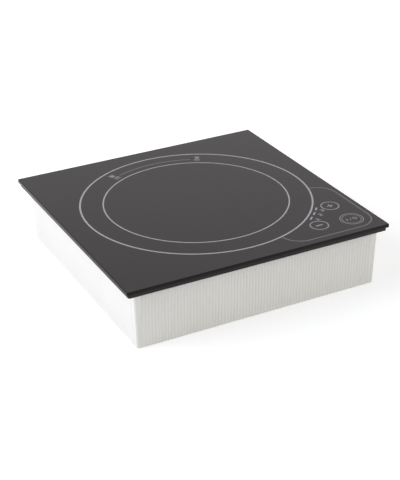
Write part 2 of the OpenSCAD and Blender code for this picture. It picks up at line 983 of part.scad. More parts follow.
// Hood over the fan that turns its air towards the heat sink
module air_hood() {
    hood_x = [fan_x - fan_side / 2, board_x[0] - 3];
    hood_y = [fan_y - fan_side / 2, fan_y + fan_side / 2];
    hood_z = [fan_top, 42];
    hood_t = 1.5;
    color([0.75, 0.75, 0.75]) {
        block([hood_x[0], hood_y[0], hood_z[1] - hood_t], [hood_x[1], hood_y[1], hood_z[1]]);
        block([hood_x[0], hood_y[0], hood_z[0]], [hood_x[0] + hood_t, hood_y[1], hood_z[1]]);
        for (y = [hood_y[0], hood_y[1] - hood_t]) {
            block([hood_x[0], y, hood_z[0]], [hood_x[1], y + hood_t, hood_z[1]]);
            block([fan_x + fan_side / 2 + 0.5, y, wall_t], [hood_x[1], y + hood_t, hood_z[1]]);
        }
    }
}

// ---- Controls ----

module control_board() {
    color("seagreen")
        difference() {
            translate([0, 0, control_z]) linear_extrude(board_t) polygon(control_outline);
            for (p = touch_places)
                translate([p[0], p[1], control_z - eps]) cylinder(r = 1, h = 2);
        }
}

module control_carrier() {
    color([0.85, 0.85, 0.85])
        difference() {
            translate([0, 0, carrier_plate_z])
                linear_extrude(control_z - carrier_plate_z) polygon(control_outline);
            difference() {
                translate([0, 0, carrier_plate_z + carrier_plate_t])
                    linear_extrude(5) polygon(control_outline);
                carrier_rim();
            }
            at_control_bosses()
                translate([0, 0, carrier_plate_z - eps]) cylinder(r = board_slip_r, h = 3);
            block(
                [cable_window[0][0], cable_window[0][1], carrier_plate_z - eps],
                [cable_window[1][0], cable_window[1][1], control_z + eps]
            );
        }
}

// Low walls along the straight edges of the carrier
module carrier_rim() {
    low = carrier_plate_z;
    high = control_z;
    t = 1.5;
    left = control_outline[0][0];
    front = control_outline[0][1];
    right = control_outline[3][0];
    back = control_outline[3][1];
    block([left, front, low], [control_outline[1][0], front + t, high]);
    block([right - t, control_outline[2][1], low], [right, back, high]);
    block([left, front, low], [left + t, control_outline[5][1], high]);
    block([control_outline[4][0], back - t, low], [right, back, high]);
}

module control_screws() {
    color("silver")
        at_control_bosses()
            translate([0, 0, carrier_plate_z + carrier_plate_t])
                mirror([0, 0, 1]) screw(board_hole_r, control_screw);
}

module touch_pads() {
    color([0.3, 0.3, 0.3])
        for (p = touch_places)
            translate([p[0], p[1], control_top]) tube(touch_pad_r, touch_hole_r, glass_z - control_top);
}

module level_lamps() {
    x = lamp_w / 2;
    y = lamp_l / 2;
    color("white")
        for (a = lamp_angles)
            translate(zone_point(lamp_ring_r, a))
                rotate([0, 0, a])
                    block([-x, -y, control_top], [x, y, glass_z - lamp_gap]);
}

module buzzer() {
    buzzer_r = 5.5;
    buzzer_h = 4.2;
    sound_hole_r = 1;
    color([0.15, 0.15, 0.15])
        translate([70, -128, control_top]) tube(buzzer_r, sound_hole_r, buzzer_h);
}

// Flat cable that drops from the control board and runs back to the power board
module ribbon_cable() {
    ribbon_w = 14;
    ribbon_t = 1;
    high = control_z;
    run_z = 30;
    y_in = -108;
    y_out = 20;
    color("gainsboro")
        translate([70, 0, 0])
            rotate([90, 0, 90])
                linear_extrude(ribbon_w)
                    polygon([
                        [y_in, high], [y_in, run_z], [y_out, run_z], [y_out, board_top],
                        [y_out + ribbon_t, board_top], [y_out + ribbon_t, run_z + ribbon_t],
                        [y_in + ribbon_t, run_z + ribbon_t], [y_in + ribbon_t, high]
                    ]);
}

glass_top();
glass_adhesive();
glass_frame();
rim_gasket();
housing_tub();
housing_screws();
bracket_inserts();
coil_winding();
coil_carrier();
ferrite_bars();
coil_shield();
coil_screws();
mica_sheet();
sensor_holder();
temperature_sensor();
coil_leads();
sensor_lead();
power_board();
board_screws();
heat_sink();
power_transistor();
bridge_rectifier();
resonant_capacitors();
smoothing_capacitor();
choke_core();
choke_winding();
mains_capacitor();
mains_fuse();
standby_transformer();
terminal_block();
fan_frame();
fan_stator();
fan_screws();
fan_impeller();
fan_magnet();
fan_shaft();
fan_lead();
air_hood();
control_board();
control_carrier();
control_screws();
touch_pads();
level_lamps();
buzzer();
ribbon_cable();
gland_body();
gland_nut();
gland_cap();
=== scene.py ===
import json
import math

import bmesh
import bpy
from mathutils import Matrix, Vector


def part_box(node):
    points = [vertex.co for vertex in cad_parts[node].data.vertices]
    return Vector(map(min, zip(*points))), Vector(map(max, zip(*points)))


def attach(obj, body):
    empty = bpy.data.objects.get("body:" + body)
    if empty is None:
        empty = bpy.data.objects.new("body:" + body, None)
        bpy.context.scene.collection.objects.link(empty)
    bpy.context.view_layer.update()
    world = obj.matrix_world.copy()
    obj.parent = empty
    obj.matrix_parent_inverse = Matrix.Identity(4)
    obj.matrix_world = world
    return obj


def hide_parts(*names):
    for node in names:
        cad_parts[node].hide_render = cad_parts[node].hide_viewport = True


# Looks of the drop-in induction cooktop. Metres, +Z up, the front towards -Y.

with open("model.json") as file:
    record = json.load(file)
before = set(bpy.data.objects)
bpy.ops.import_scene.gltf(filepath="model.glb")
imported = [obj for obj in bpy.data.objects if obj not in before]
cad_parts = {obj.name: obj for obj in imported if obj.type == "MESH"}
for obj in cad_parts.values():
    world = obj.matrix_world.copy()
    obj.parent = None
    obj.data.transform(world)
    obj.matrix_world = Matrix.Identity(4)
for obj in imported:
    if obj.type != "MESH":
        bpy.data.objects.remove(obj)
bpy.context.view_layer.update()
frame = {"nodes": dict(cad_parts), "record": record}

MM = 0.001
BODY = "cooktop"


def middle(low, high):
    """The centre of a box, seen from above."""
    return ((low.x + high.x) / 2, (low.y + high.y) / 2)


glass_low, glass_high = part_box("glass_top")
GLASS_CENTRE = middle(glass_low, glass_high)
GLASS_HALF = (glass_high.x - glass_low.x) / 2

tub_low, tub_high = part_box("housing_tub")
TUB_CENTRE = middle(tub_low, tub_high)
TUB_HALF = (tub_high.x - tub_low.x) / 2
TUB_H = tub_high.z - tub_low.z
TUB_LEAN = 2.0 * MM  # how far each wall leans in from the rim to the foot

# ---------------------------------------------------------------- camera, light, floor

# Fitted to the edges of the plate and the housing and to the printed rings
CAMERA_AT = Vector((-0.5522, -1.0971, 0.6519))
CAMERA_AZIMUTH = math.radians(26.900)
CAMERA_PITCH = math.radians(27.165)
CAMERA_ROLL = math.radians(-1.13)
CAMERA_LENS = 93.68
CAMERA_SENSOR = 36


def add_camera():
    """A camera that looks down at the front left corner, rolled by about a degree."""
    data = bpy.data.cameras.new("camera")
    data.lens = CAMERA_LENS
    data.sensor_width = CAMERA_SENSOR
    data.clip_start = 0.01
    camera = bpy.data.objects.new("camera", data)
    bpy.context.scene.collection.objects.link(camera)
    flat = Vector((math.sin(CAMERA_AZIMUTH), math.cos(CAMERA_AZIMUTH), 0))
    forward = flat * math.cos(CAMERA_PITCH) - Vector((0, 0, math.sin(CAMERA_PITCH)))
    right = forward.cross(Vector((0, 0, 1))).normalized()
    right = Matrix.Rotation(-CAMERA_ROLL, 3, forward) @ right
    up = right.cross(forward)
    rotation = Matrix((right, up, -forward)).transposed()
    camera.matrix_world = Matrix.Translation(CAMERA_AT) @ rotation.to_4x4()
    bpy.context.scene.camera = camera


def add_light(name, at, aim, size, watts, colour=(1, 1, 1), mirrored=True):
    """A square soft box aimed at a point. One that isn't mirrored adds no highlight or reflection."""
    data = bpy.data.lights.new(name, "AREA")
    data.shape = "SQUARE"
    data.size = size
    data.energy = watts
    data.color = colour
    light = bpy.data.objects.new(name, data)
    bpy.context.scene.collection.objects.link(light)
    light.location = at
    light.rotation_euler = (Vector(aim) - Vector(at)).to_track_quat("-Z", "Y").to_euler()
    light.visible_glossy = mirrored


def set_world(strength):
    """An even white surround."""
    world = bpy.data.worlds.new("studio")
    world.use_nodes = True
    world.node_tree.nodes["Background"].inputs["Color"].default_value = (1, 1, 1, 1)
    world.node_tree.nodes["Background"].inputs["Strength"].default_value = strength
    bpy.context.scene.world = world


def add_floor(half, drop, glow):
    """A pale light table that reaches past the view on every side."""
    bm = bmesh.new()
    bmesh.ops.create_grid(bm, x_segments=2, y_segments=2, size=half)
    mesh = bpy.data.meshes.new("floor")
    bm.to_mesh(mesh)
    bm.free()
    floor = bpy.data.objects.new("floor", mesh)
    floor.location.z = -drop
    bpy.context.scene.collection.objects.link(floor)
    material = bpy.data.materials.new("floor_white")
    material.use_nodes = True
    shader = material.node_tree.nodes["Principled BSDF"]
    shader.inputs["Base Color"].default_value = (0.85, 0.85, 0.85, 1)
    shader.inputs["Roughness"].default_value = 1.0
    shader.inputs["Specular IOR Level"].default_value = 0.0
    shader.inputs["Emission Color"].default_value = (1, 1, 1, 1)
    shader.inputs["Emission Strength"].default_value = glow
    mesh.materials.append(material)


add_camera()
bpy.context.scene.view_settings.view_transform = "Standard"
set_world(strength=0.375)
WALLS = (0, 0, 0.03)
PLATE = (0, 0, 0.07)
add_light(
    "key_left", at=(-2.5, 0.95, 1.25), aim=WALLS, size=3.0, watts=83,
    colour=(0.960, 1.0, 1.115), mirrored=False,
)
add_light("fill_right", at=(2.3, -1.7, 1.0), aim=WALLS, size=2.4, watts=23, mirrored=False)
add_light(
    "sweep_back", at=(0.67, 1.31, 0.80), aim=PLATE, size=1.8, watts=3.0,
    colour=(1.11, 1.0, 1.06),
)
add_light("top_box", at=(0.0, 0.0, 2.2), aim=(0, 0, 0), size=2.0, watts=4.0)
add_floor(half=9.0, drop=0.0003, glow=0.415)

# ---------------------------------------------------------------- materials


class Paint:
    """A Principled material with helpers that add procedural detail to it."""

    SPREAD = 0.25  # how far a noise pattern mostly strays from its middle, 0.5

    def __init__(self, name, colour, roughness, metallic=0.0, specular=0.5):
        self.material = bpy.data.materials.new(name)
        self.material.use_nodes = True
        self.tree = self.material.node_tree
        self.shader = self.tree.nodes["Principled BSDF"]
        self.colour = colour
        self.shader.inputs["Base Color"].default_value = (*colour, 1)
        self.shader.inputs["Roughness"].default_value = roughness
        self.shader.inputs["Metallic"].default_value = metallic
        self.shader.inputs["Specular IOR Level"].default_value = specular
        self.roughness = roughness
        self.place = self.tree.nodes.new("ShaderNodeTexCoord")
        self.tone = None
        self.bump_normal = None

    def put(self, socket, value):
        self.shader.inputs[socket].default_value = value
        return self

    def noise(self, scale, detail=3.0, stretch=(1, 1, 1)):
        """A noise pattern in the object's own space, with a scale in cells per metre."""
        mapping = self.tree.nodes.new("ShaderNodeMapping")
        mapping.inputs["Scale"].default_value = stretch
        texture = self.tree.nodes.new("ShaderNodeTexNoise")
        texture.inputs["Scale"].default_value = scale
        texture.inputs["Detail"].default_value = detail
        self.tree.links.new(self.place.outputs["Object"], mapping.inputs["Vector"])
        self.tree.links.new(mapping.outputs["Vector"], texture.inputs["Vector"])
        return texture.outputs["Fac"]

    def span(self, factor, low, high):
        """The pattern's middle range mapped to a low and a high value."""
        remap = self.tree.nodes.new("ShaderNodeMapRange")
        remap.inputs["From Min"].default_value = 0.5 - self.SPREAD
        remap.inputs["From Max"].default_value = 0.5 + self.SPREAD
        remap.inputs["To Min"].default_value = low
        remap.inputs["To Max"].default_value = high
        self.tree.links.new(factor, remap.inputs["Value"])
        return remap.outputs["Result"]

    def mottle(self, scale, amount, stretch=(1, 1, 1)):
        """The colour wanders a little towards a darker tone of its own."""
        darker = tuple(c * (1 - amount) for c in self.colour)
        mix = self.tree.nodes.new("ShaderNodeMix")
        mix.data_type = "RGBA"
        mix.inputs["A"].default_value = (*self.colour, 1)
        mix.inputs["B"].default_value = (*darker, 1)
        factor = self.span(self.noise(scale, 4.0, stretch), 0.0, 1.0)
        self.tree.links.new(factor, mix.inputs["Factor"])
        self.tone = mix.outputs["Result"]
        self.tree.links.new(self.tone, self.shader.inputs["Base Color"])
        return self

    def painted_foot_shade(self, height, amount, scale):
        """Painted shade: the mottled colour deepens below a height, with an uneven upper limit."""
        parts = self.tree.nodes.new("ShaderNodeSeparateXYZ")
        self.tree.links.new(self.place.outputs["Object"], parts.inputs["Vector"])
        limit = self.span(self.noise(scale, 2.0), 0.85 * height, 1.15 * height)
        remap = self.tree.nodes.new("ShaderNodeMapRange")
        remap.interpolation_type = "SMOOTHSTEP"
        remap.inputs["From Min"].default_value = 0.0
        remap.inputs["To Min"].default_value = amount
        remap.inputs["To Max"].default_value = 0.0
        self.tree.links.new(limit, remap.inputs["From Max"])
        self.tree.links.new(parts.outputs["Z"], remap.inputs["Value"])
        mix = self.tree.nodes.new("ShaderNodeMix")
        mix.data_type = "RGBA"
        mix.inputs["B"].default_value = (0, 0, 0, 1)
        self.tree.links.new(remap.outputs["Result"], mix.inputs["Factor"])
        self.tree.links.new(self.tone, mix.inputs["A"])
        self.tree.links.new(mix.outputs["Result"], self.shader.inputs["Base Color"])
        return self

    def scuff(self, scale, amount, stretch=(1, 1, 1)):
        """The roughness wanders by an amount either way."""
        low = max(self.roughness - amount, 0.01)
        factor = self.span(self.noise(scale, 5.0, stretch), low, self.roughness + amount)
        self.tree.links.new(factor, self.shader.inputs["Roughness"])
        return self

    def grain(self, scale, strength, depth, detail=2.0, stretch=(1, 1, 1)):
        """A fine relief. Further calls add to the relief of the ones before."""
        bump = self.tree.nodes.new("ShaderNodeBump")
        bump.inputs["Strength"].default_value = strength
        bump.inputs["Distance"].default_value = depth
        self.tree.links.new(self.noise(scale, detail, stretch), bump.inputs["Height"])
        if self.bump_normal:
            self.tree.links.new(self.bump_normal, bump.inputs["Normal"])
        self.bump_normal = bump.outputs["Normal"]
        self.tree.links.new(self.bump_normal, self.shader.inputs["Normal"])
        return self


def plastic(name, colour, roughness=0.5):
    """Moulded plastic with a spark-eroded grain."""
    paint = Paint(name, colour, roughness)
    return paint.mottle(22, 0.04).scuff(60, 0.06).grain(1400, 0.22, 0.0002)


def rubber(name, colour, roughness):
    """Rubber, foam or silicone: matt, with a coarser grain."""
    paint = Paint(name, colour, roughness, specular=0.3)
    return paint.mottle(70, 0.12).scuff(120, 0.08).grain(900, 0.35, 0.0003, 4.0)


def metal(name, colour, roughness, stretch=(1, 1, 1)):
    """Metal with fine scratches, which run along one axis where it is stretched."""
    paint = Paint(name, colour, roughness, metallic=1.0)
    paint.mottle(90, 0.1, stretch).scuff(240, 0.1, stretch)
    return paint.grain(700, 0.08, 0.0001, 3.0, stretch)


def glass_ceramic():
    """Polished black glass-ceramic with faint haze from wiping."""
    paint = Paint("black_glass", (0.0046, 0.0034, 0.0042), 0.05)
    paint.put("IOR", 1.5)
    paint.put("Specular Tint", (1.0, 0.95, 0.97, 1))
    paint.mottle(9, 0.25)
    paint.scuff(14, 0.022, (1.0, 2.2, 1.0))
    return paint.grain(260, 0.012, 0.0001, 1.0)


def ground_edge():
    """The side of the glass plate: ground, not polished, so darker and matt."""
    paint = Paint("ground_edge", (0.0062, 0.0052, 0.0052), 0.30, specular=0.16)
    paint.put("Sheen Weight", 0.32)
    paint.put("Sheen Roughness", 0.35)
    paint.mottle(60, 0.25, (1, 1, 6))
    return paint.scuff(150, 0.06, (1, 1, 8)).grain(1100, 0.12, 0.00005, 3.0, (1, 1, 6))


def housing_plastic():
    """Off-white moulded plastic, a little warm, with a satin grain, faint flow marks and painted
    shade near the floor.
    """
    paint = Paint("housing_plastic", (0.750, 0.733, 0.692), 0.46)
    # painted shade: the walls darken towards the floor, standing in for the dimmer light there
    paint.mottle(16, 0.03, (1, 1, 0.25)).painted_foot_shade(0.055, 0.055, 12)
    paint.scuff(45, 0.06, (1, 1, 0.3))
    return paint.grain(1500, 0.18, 0.00015).grain(7, 0.03, 0.002, 1.0)


def print_ink(name, colour):
    """Screen-printed ceramic ink: matt, slightly uneven in cover."""
    paint = Paint(name, colour, 0.42, specular=0.4)
    return paint.mottle(420, 0.16).scuff(300, 0.08).grain(2600, 0.2, 0.00005)


def circuit_board():
    """Green solder mask over a faint weave."""
    paint = Paint("circuit_board", (0.018, 0.12, 0.045), 0.28)
    return paint.mottle(160, 0.4, (1, 3, 1)).scuff(200, 0.08).grain(500, 0.15, 0.0001)


def litz():
    """Enamelled copper bundle with the lay of its strands."""
    paint = Paint("litz_copper", (0.62, 0.25, 0.11), 0.34, metallic=0.85)
    return paint.mottle(500, 0.35).scuff(500, 0.1).grain(1800, 0.6, 0.0003, 1.0)


def ferrite():
    """Dark sintered ferrite."""
    paint = Paint("ferrite", (0.045, 0.045, 0.05), 0.55)
    return paint.mottle(300, 0.3).grain(900, 0.4, 0.0002)


def mica():
    """Pressed mica sheet, brown and flaky."""
    paint = Paint("mica", (0.42, 0.34, 0.22), 0.35)
    return paint.mottle(60, 0.4).scuff(90, 0.12).grain(300, 0.2, 0.0002)


def fuse_ceramic():
    """Glazed white ceramic."""
    return Paint("fuse_ceramic", (0.80, 0.79, 0.75), 0.25).mottle(200, 0.06).scuff(160, 0.08)


SLOTS = {
    "black_glass": glass_ceramic(),
    "silicone_bond": rubber("silicone_bond", (0.10, 0.10, 0.10), 0.5),
    "frame_plastic": plastic("frame_plastic", (0.55, 0.55, 0.53)),
    "gasket_foam": rubber("gasket_foam", (0.0115, 0.0105, 0.0105), 0.50),
    "housing_plastic": housing_plastic(),
    "screw_steel": metal("screw_steel", (0.62, 0.62, 0.63), 0.3),
    "insert_brass": metal("insert_brass", (0.78, 0.56, 0.24), 0.28, (1, 1, 8)),
    "litz_copper": litz(),
    "carrier_plastic": plastic("carrier_plastic", (0.72, 0.68, 0.58), 0.6),
    "ferrite": ferrite(),
    "shield_aluminium": metal("shield_aluminium", (0.80, 0.81, 0.82), 0.3, (1, 12, 1)),
    "mica": mica(),
    "sensor_silicone": rubber("sensor_silicone", (0.72, 0.70, 0.66), 0.6),
    "sensor_cap": rubber("sensor_cap", (0.30, 0.04, 0.03), 0.6),
    "lead_white": rubber("lead_white", (0.72, 0.72, 0.70), 0.45),
    "lead_red": rubber("lead_red", (0.45, 0.02, 0.02), 0.45),
    "circuit_board": circuit_board(),
    "sink_aluminium": metal("sink_aluminium", (0.72, 0.74, 0.76), 0.38, (0.1, 1, 1)),
    "device_epoxy": plastic("device_epoxy", (0.022, 0.022, 0.024), 0.55),
    "capacitor_blue": plastic("capacitor_blue", (0.04, 0.12, 0.28), 0.3),
    "capacitor_red": plastic("capacitor_red", (0.34, 0.035, 0.03), 0.3),
    "choke_ferrite": plastic("choke_ferrite", (0.10, 0.15, 0.05), 0.5),
    "capacitor_yellow": plastic("capacitor_yellow", (0.66, 0.46, 0.05), 0.35),
    "fuse_ceramic": fuse_ceramic(),
    "transformer_tape": plastic("transformer_tape", (0.62, 0.50, 0.10), 0.4),
    "terminal_plastic": plastic("terminal_plastic", (0.66, 0.66, 0.64), 0.45),
    "fan_plastic": plastic("fan_plastic", (0.020, 0.020, 0.022), 0.42),
    "stator_metal": metal("stator_metal", (0.58, 0.32, 0.16), 0.4),
    "magnet": rubber("magnet", (0.05, 0.05, 0.05), 0.6),
    "shaft_steel": metal("shaft_steel", (0.68, 0.68, 0.69), 0.18, (1, 1, 6)),
    "hood_plastic": plastic("hood_plastic", (0.40, 0.40, 0.40), 0.5),
    "touch_foam": rubber("touch_foam", (0.05, 0.05, 0.055), 0.85),
    "lamp_plastic": plastic("lamp_plastic", (0.82, 0.82, 0.80), 0.3),
    "buzzer_plastic": plastic("buzzer_plastic", (0.03, 0.03, 0.03), 0.45),
    "ribbon_plastic": plastic("ribbon_plastic", (0.55, 0.55, 0.55), 0.4),
    "gland_nylon": plastic("gland_nylon", (0.035, 0.035, 0.037), 0.4),
}
GROUND_EDGE = ground_edge()
INK_BRIGHT = print_ink("ink_bright", (0.475, 0.458, 0.475))
INK_SOFT = print_ink("ink_soft", (0.20, 0.191, 0.20))
INK_MID = print_ink("ink_mid", (0.335, 0.322, 0.335))


def dress_cad_nodes():
    """Every CAD node takes the procedural material of its slot."""
    slot_of = {s["node"]: s["material_slot"] for s in frame["record"]["subparts"]}
    for name, thing in frame["nodes"].items():
        for place in thing.material_slots:
            place.material = SLOTS[slot_of[name]].material


dress_cad_nodes()

# ---------------------------------------------------------------- mesh helpers


def finish_mesh(name, bm, paint, smooth_angle=None):
    """Turns a bmesh into a piece of the cooktop with a material."""
    bmesh.ops.recalc_face_normals(bm, faces=bm.faces)
    mesh = bpy.data.meshes.new(name)
    bm.to_mesh(mesh)
    bm.free()
    if smooth_angle:
        mesh.shade_smooth()
        mesh.set_sharp_from_angle(angle=math.radians(smooth_angle))
    mesh.materials.append(paint.material)
    piece = bpy.data.objects.new(name, mesh)
    bpy.context.scene.collection.objects.link(piece)
    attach(piece, BODY)
    return piece


def rounded_square(centre, half_x, half_y, radius, steps=6):
    """Points anticlockwise round a rectangle with round corners."""
    points = []
    for k, (sx, sy) in enumerate(((1, 1), (-1, 1), (-1, -1), (1, -1))):
        for i in range(steps + 1):
            a = math.radians(90 * (k + i / steps))
            x = centre[0] + sx * (half_x - radius) + radius * math.cos(a)
            y = centre[1] + sy * (half_y - radius) + radius * math.sin(a)
            points.append((x, y))
    return points


def loft(bm, loops, ring=False):
    """Skins a list of equal loops of (x, y, z) points, with caps or joined end to end."""
    rows = [[bm.verts.new(p) for p in loop] for loop in loops]
    pairs = list(zip(rows, rows[1:]))
    if ring:
        pairs.append((rows[-1], rows[0]))
    for low, high in pairs:
        n = len(low)
        for i in range(n):
            bm.faces.new((low[i], low[(i + 1) % n], high[(i + 1) % n], high[i]))
    if not ring:
        bm.faces.new(rows[0][::-1])
        bm.faces.new(rows[-1])


def at_height(points, z):
    """Flat points lifted to one height."""
    return [(x, y, z) for x, y in points]


# ---------------------------------------------------------------- glass and gasket

INK_T = 0.03 * MM
SURFACE_Z = glass_high.z - INK_T  # the glass under the print, whose top is the top of the CAD


def build_glass():
    """The plate: ground edge, bevel round the top with softened arrises, arris below."""
    corner = 1.5 * MM
    least_corner = 0.4 * MM
    bevel = 0.55 * MM
    soft = 0.10 * MM
    z0 = glass_low.z
    z1 = SURFACE_Z
    profile = [
        (0.45 * MM, z0),
        (0.12 * MM, z0 + 0.14 * MM),
        (0.0, z0 + 0.45 * MM),
        (0.0, z1 - bevel - soft),
        (0.02 * MM, z1 - bevel),
        (soft * 0.7, z1 - bevel + soft * 0.6),
        (bevel - soft * 0.6, z1 - soft * 0.7),
        (bevel, z1 - 0.02 * MM),
        (bevel + soft, z1),
        (bevel + 6 * soft, z1),
    ]
    bm = bmesh.new()
    loops = []
    for inset, z in profile:
        half = GLASS_HALF - inset
        radius = max(corner - inset, least_corner)
        loops.append(at_height(rounded_square(GLASS_CENTRE, half, half, radius), z))
    loft(bm, loops)
    piece = finish_mesh("glass_plate", bm, SLOTS["black_glass"], smooth_angle=12)
    piece.data.materials.append(GROUND_EDGE.material)
    for face in piece.data.polygons:
        faces_up = face.normal.z > 0.5
        if not faces_up:
            face.material_index = 1
    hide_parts("glass_top")


def build_gasket():
    """Closed-cell foam strip with a shallow groove along its outer face."""
    low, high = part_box("rim_gasket")
    centre = middle(low, high)
    outer_half = (high.x - low.x) / 2
    outer_corner = 2.0 * MM
    inner_half = TUB_HALF + 0.2 * MM
    inner_corner = 3.0 * MM
    h = high.z - low.z
    # inset of the outer face in millimetres, at a share of the height
    section = [
        (0.12, 0.0), (0.0, 0.04), (0.0, 0.3), (0.12, 0.5), (0.0, 0.7), (0.0, 0.96), (0.12, 1.0)
    ]
    loops = []
    for inset, share in section:
        half = outer_half - inset * MM
        loop = rounded_square(centre, half, half, outer_corner)
        loops.append(at_height(loop, low.z + share * h))
    for share in (1.0, 0.0):
        loop = rounded_square(TUB_CENTRE, inner_half, inner_half, inner_corner)
        loops.append(at_height(loop, low.z + share * h))
    bm = bmesh.new()
    loft(bm, loops, ring=True)
    piece = finish_mesh("gasket_strip", bm, SLOTS["gasket_foam"], smooth_angle=40)
    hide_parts("rim_gasket")


build_glass()
build_gasket()

# ---------------------------------------------------------------- printed marks

ZONE = middle(*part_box("mica_sheet"))
OUTER_RING_R = 126.2 * MM
INNER_RING_R = 101.1 * MM
KEY_RING_R = 9.6 * MM
KEY_LINE = 1.4 * MM
MARK_LINE = 1.3 * MM
LEVELS = (3, 2, 1)
BAR_R = 131.0 * MM
BAR_ANGLES = (-39.3, -44.4, -49.6)
DIGIT_R = 137.7 * MM
DIGIT_ANGLES = (-40.4, -44.8, -49.6)
BACK_ARC_R = 110.9 * MM
BACK_ARC_ENDS = (66.5, 114.5)
SIGN_R = 112.4 * MM
SIGNS = ((118.0, 1.0), (62.4, 0.85))  # angle and size of the pan sign at each end of the arc


def arc_points(centre, radius, start, end, count):
    """Points on an arc, with its angles in degrees."""
    points = []
    for i in range(count + 1):
        a = math.radians(start + (end - start) * i / count)
        points.append((centre[0] + radius * math.cos(a), centre[1] + radius * math.sin(a)))
    return points


def circle(centre, radius, steps=72):
    """Points all the way round a circle, the last one a step short of the first."""
    return arc_points(centre, radius, 0, 360 - 360 / steps, steps - 1)


def round_zone(radius, angle):
    """The point at an angle in degrees on a circle round the cooking zone."""
    a = math.radians(angle)
    return (ZONE[0] + radius * math.cos(a), ZONE[1] + radius * math.sin(a))


def add_stroke(bm, points, width, closed=False):
    """A flat printed line of one width along a path, as a thin closed solid."""
    n = len(points)
    left, right = [], []
    for i, (x, y) in enumerate(points):
        before = points[i - 1] if (closed or i > 0) else points[i]
        after = points[(i + 1) % n] if (closed or i < n - 1) else points[i]
        dx, dy = after[0] - before[0], after[1] - before[1]
        size = math.hypot(dx, dy)
        nx, ny = -dy / size * width / 2, dx / size * width / 2
        left.append((x + nx, y + ny))
        right.append((x - nx, y - ny))
    rings = []
    for side, z in ((left, 0), (right, 0), (right, 1), (left, 1)):
        rings.append([bm.verts.new((x, y, SURFACE_Z + z * INK_T)) for x, y in side])
    for j in range(4):
        a, b = rings[j], rings[(j + 1) % 4]
        for i in range(n if closed else n - 1):
            k = (i + 1) % n
            bm.faces.new((a[i], a[k], b[k], b[i]))
    if not closed:
        bm.faces.new([r[0] for r in rings])
        bm.faces.new([r[-1] for r in rings][::-1])


def turned(points, centre, angle, scale=MM):
    """Points drawn in millimetres round the origin, turned and put in place."""
    c, s = math.cos(math.radians(angle)), math.sin(math.radians(angle))
    spun = [(x * c - y * s, x * s + y * c) for x, y in points]
    return [(centre[0] + scale * x, centre[1] + scale * y) for x, y in spun]


def print_piece(name, paint, draw):
    """One printed mark. The record has no slot for print, so it goes under lamp_plastic."""
    bm = bmesh.new()
    draw(bm)
    finish_mesh(name, bm, paint)


def build_rings():
    """The two concentric rings of the cooking zone."""
    rings = (
        ("zone_ring_outer", OUTER_RING_R, 1.9 * MM),
        ("zone_ring_inner", INNER_RING_R, 1.5 * MM),
    )
    for name, radius, width in rings:
        points = circle(ZONE, radius, 360)
        print_piece(name, INK_BRIGHT, lambda bm: add_stroke(bm, points, width, closed=True))


def build_panel_outline():
    """Rounded square outline of the touch panel, drawn only outside the outer ring."""
    centre = (90.4 * MM, -87.3 * MM)
    half = 53.4 * MM
    corner = 22 * MM
    clear = 127.4 * MM  # from the zone's centre, just outside the outer ring
    step = 0.8 * MM
    outline = rounded_square(centre, half, half, corner, 14)
    fine = []
    for (x0, y0), (x1, y1) in zip(outline, outline[1:] + outline[:1]):
        steps = max(1, int(math.hypot(x1 - x0, y1 - y0) / step))
        fine += [(x0 + (x1 - x0) * i / steps, y0 + (y1 - y0) * i / steps) for i in range(steps)]
    outside = [math.hypot(x - ZONE[0], y - ZONE[1]) > clear for x, y in fine]
    start = next(i for i in range(len(fine)) if outside[i] and not outside[i - 1])
    run = []
    for i in range(len(fine)):
        k = (start + i) % len(fine)
        if not outside[k]:
            break
        run.append(fine[k])
    print_piece("panel_outline", INK_SOFT, lambda bm: add_stroke(bm, run, 1.5 * MM))


def key_places():
    """Centres of the touch pads under the glass: plus, minus and power.

    The box round all three gives four of the six coordinates, and two offsets give the rest.
    """
    low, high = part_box("touch_pads")
    pad_r = 6.5 * MM
    plus_left_of_power = 2.8 * MM
    minus_behind_power = 3.5 * MM
    power = (high.x - pad_r, low.y + pad_r)
    plus = (power[0] - plus_left_of_power, high.y - pad_r)
    minus = (low.x + pad_r, power[1] + minus_behind_power)
    return plus, minus, power


def build_keys():
    """Ring round each touch key, with a plus, a minus and an on-off mark."""
    plus, minus, power = key_places()

    def draw_plus_ring(bm):
        add_stroke(bm, circle(plus, KEY_RING_R), KEY_LINE, closed=True)

    def draw_plus_mark(bm):
        add_stroke(bm, turned([(-3.6, 0), (3.6, 0)], plus, 0), 1.5 * MM)
        add_stroke(bm, turned([(0, 0.75), (0, 3.6)], plus, 0), 1.5 * MM)
        add_stroke(bm, turned([(0, -0.75), (0, -3.6)], plus, 0), 1.5 * MM)

    def draw_minus(bm):
        add_stroke(bm, circle(minus, KEY_RING_R), KEY_LINE, closed=True)
        add_stroke(bm, turned([(-4.1, 0), (4.1, 0)], minus, 0), 2.2 * MM)

    def draw_power_rings(bm):
        add_stroke(bm, circle(power, 12.4 * MM, 90), 0.9 * MM, closed=True)
        add_stroke(bm, circle(power, 10.1 * MM), 0.6 * MM, closed=True)

    def draw_power_mark(bm):
        add_stroke(bm, turned([(-5.6, -2.2), (-5.6, 2.2)], power, 0), MARK_LINE)
        add_stroke(bm, turned([(-2.6, -2.4), (0.2, 2.4)], power, 0), 0.7 * MM)
        add_stroke(bm, turned(circle((3.9, 0), 2.0, 36), power, 0), 1.0 * MM, closed=True)

    print_piece("key_plus_ring", INK_MID, draw_plus_ring)
    print_piece("key_plus_mark", INK_MID, draw_plus_mark)
    print_piece("key_minus", INK_MID, draw_minus)
    print_piece("key_power_rings", INK_MID, draw_power_rings)
    print_piece("key_power_mark", INK_MID, draw_power_mark)


